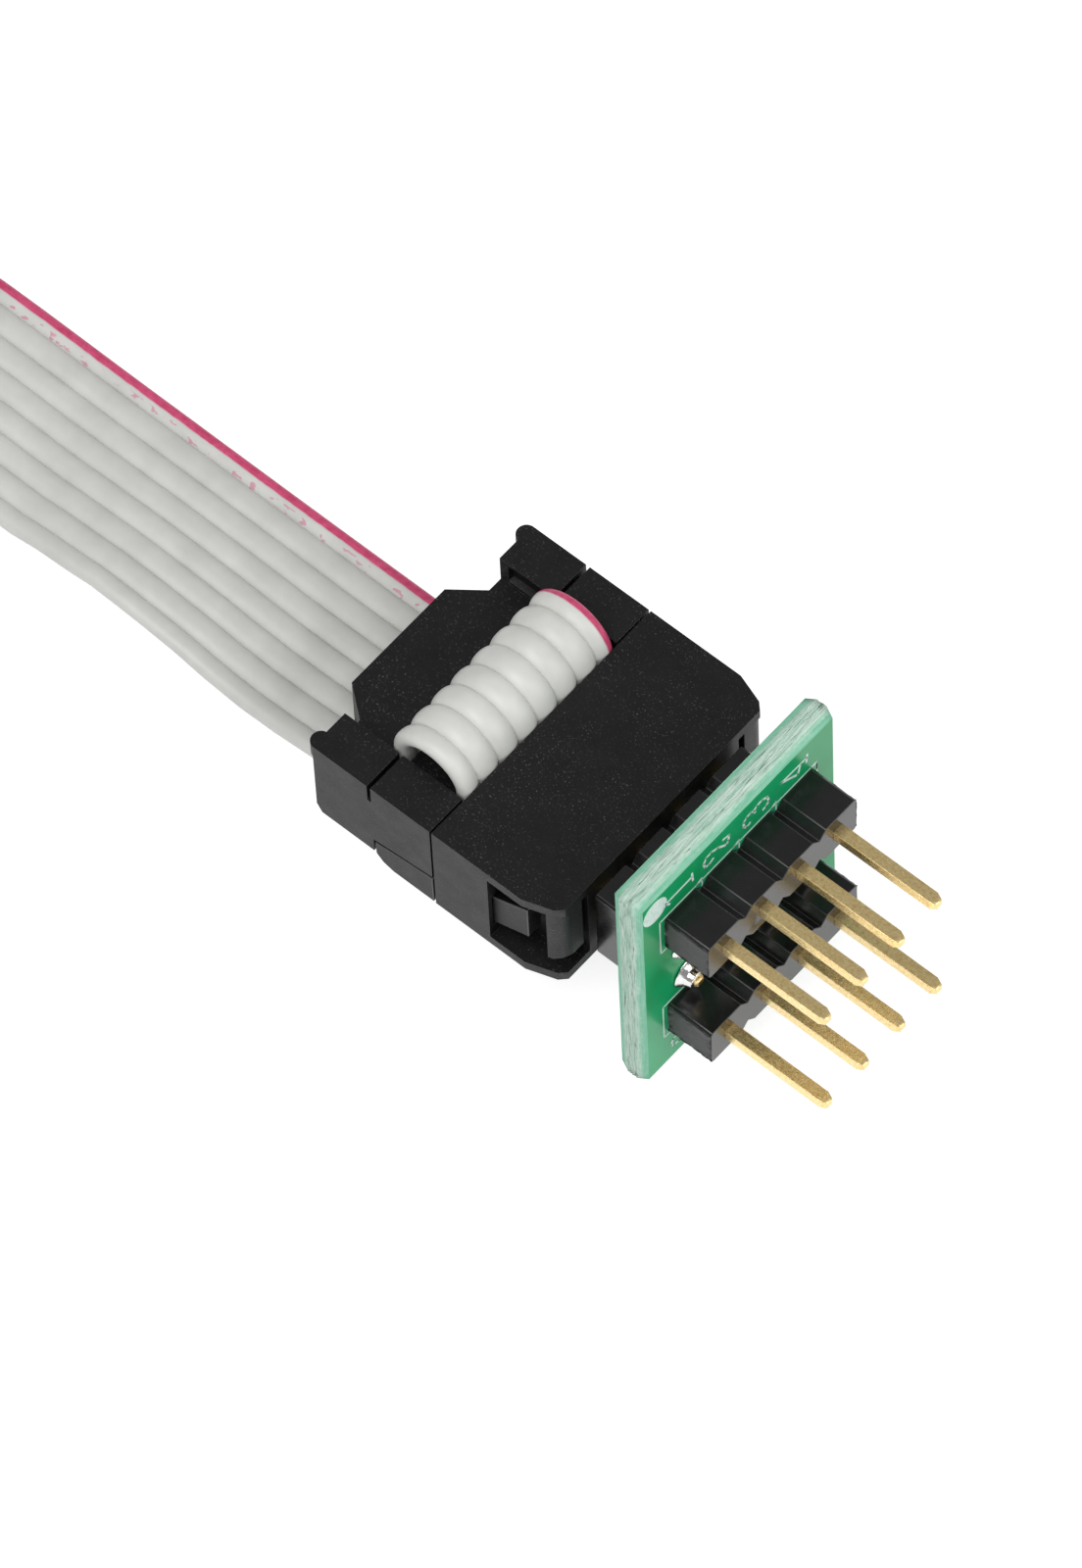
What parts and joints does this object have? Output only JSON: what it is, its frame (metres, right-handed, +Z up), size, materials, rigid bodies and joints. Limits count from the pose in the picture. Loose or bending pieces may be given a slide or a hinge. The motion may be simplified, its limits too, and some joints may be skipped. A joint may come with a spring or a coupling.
{
  "type": "ic test clip",
  "caption": "Test lead with a through-hole adapter board on pins, a flat ribbon in a clamped socket with a strain relief, and a small spring clip with contact jaws.",
  "frame": {"origin": "bottom centre of the box round the socket and the adapter board, on the surface that the board's lower edge stands on", "axes": "+X along the pins, away from the ribbon; +Y along the pin rows, from the marked pin; +Z up"},
  "size_m": [0.1413, 0.0152, 0.0158],
  "materials": {
    "board": "satin",
    "strip": "gloss",
    "gold_pin": "polished",
    "solder": "polished",
    "socket_black": "matte",
    "ribbon_grey": "satin",
    "tie_black": "satin",
    "clip_black": "matte",
    "steel": "satin"
  },
  "bodies": {
    "lead": {"socket_housing": "socket_black", "socket_cover": "socket_black", "strain_relief": "socket_black", "contacts_upper": "gold_pin", "contacts_lower": "gold_pin", "ribbon_loop": "ribbon_grey", "ribbon_run": "ribbon_grey", "ribbon_hank": "ribbon_grey", "ribbon_tail": "ribbon_grey", "hank_tie": "tie_black", "clip_jaw_lower": "clip_black", "clip_axle": "steel", "clip_spring": "steel", "clip_contacts_lower": "gold_pin", "clip_wire_block": "clip_black"},
    "adapter": {"adapter_board": "board", "pin_strip_upper": "strip", "pin_strip_lower": "strip", "pins_upper": "gold_pin", "pins_lower": "gold_pin", "header_base": "strip", "header_pins": "gold_pin", "solder_front": "solder", "solder_back": "solder"},
    "clip_jaw": {"clip_jaw_upper": "clip_black", "clip_contacts_upper": "gold_pin"}
  },
  "joints": [
    {"name": "adapter_unplug", "type": "slide", "parent": "lead", "child": "adapter", "axis": [1, 0, 0], "range_m": [0, 0.008]},
    {"name": "clip_hinge", "type": "hinge", "parent": "lead", "child": "clip_jaw", "pos_m": [-0.112, 0, 0.0057], "axis": [0, 1, 0], "range_deg": [0, 18], "stiffness_Nm_per_rad": 0.25, "springref_deg": -14.32, "deforming": ["clip_spring"]}
  ]
}
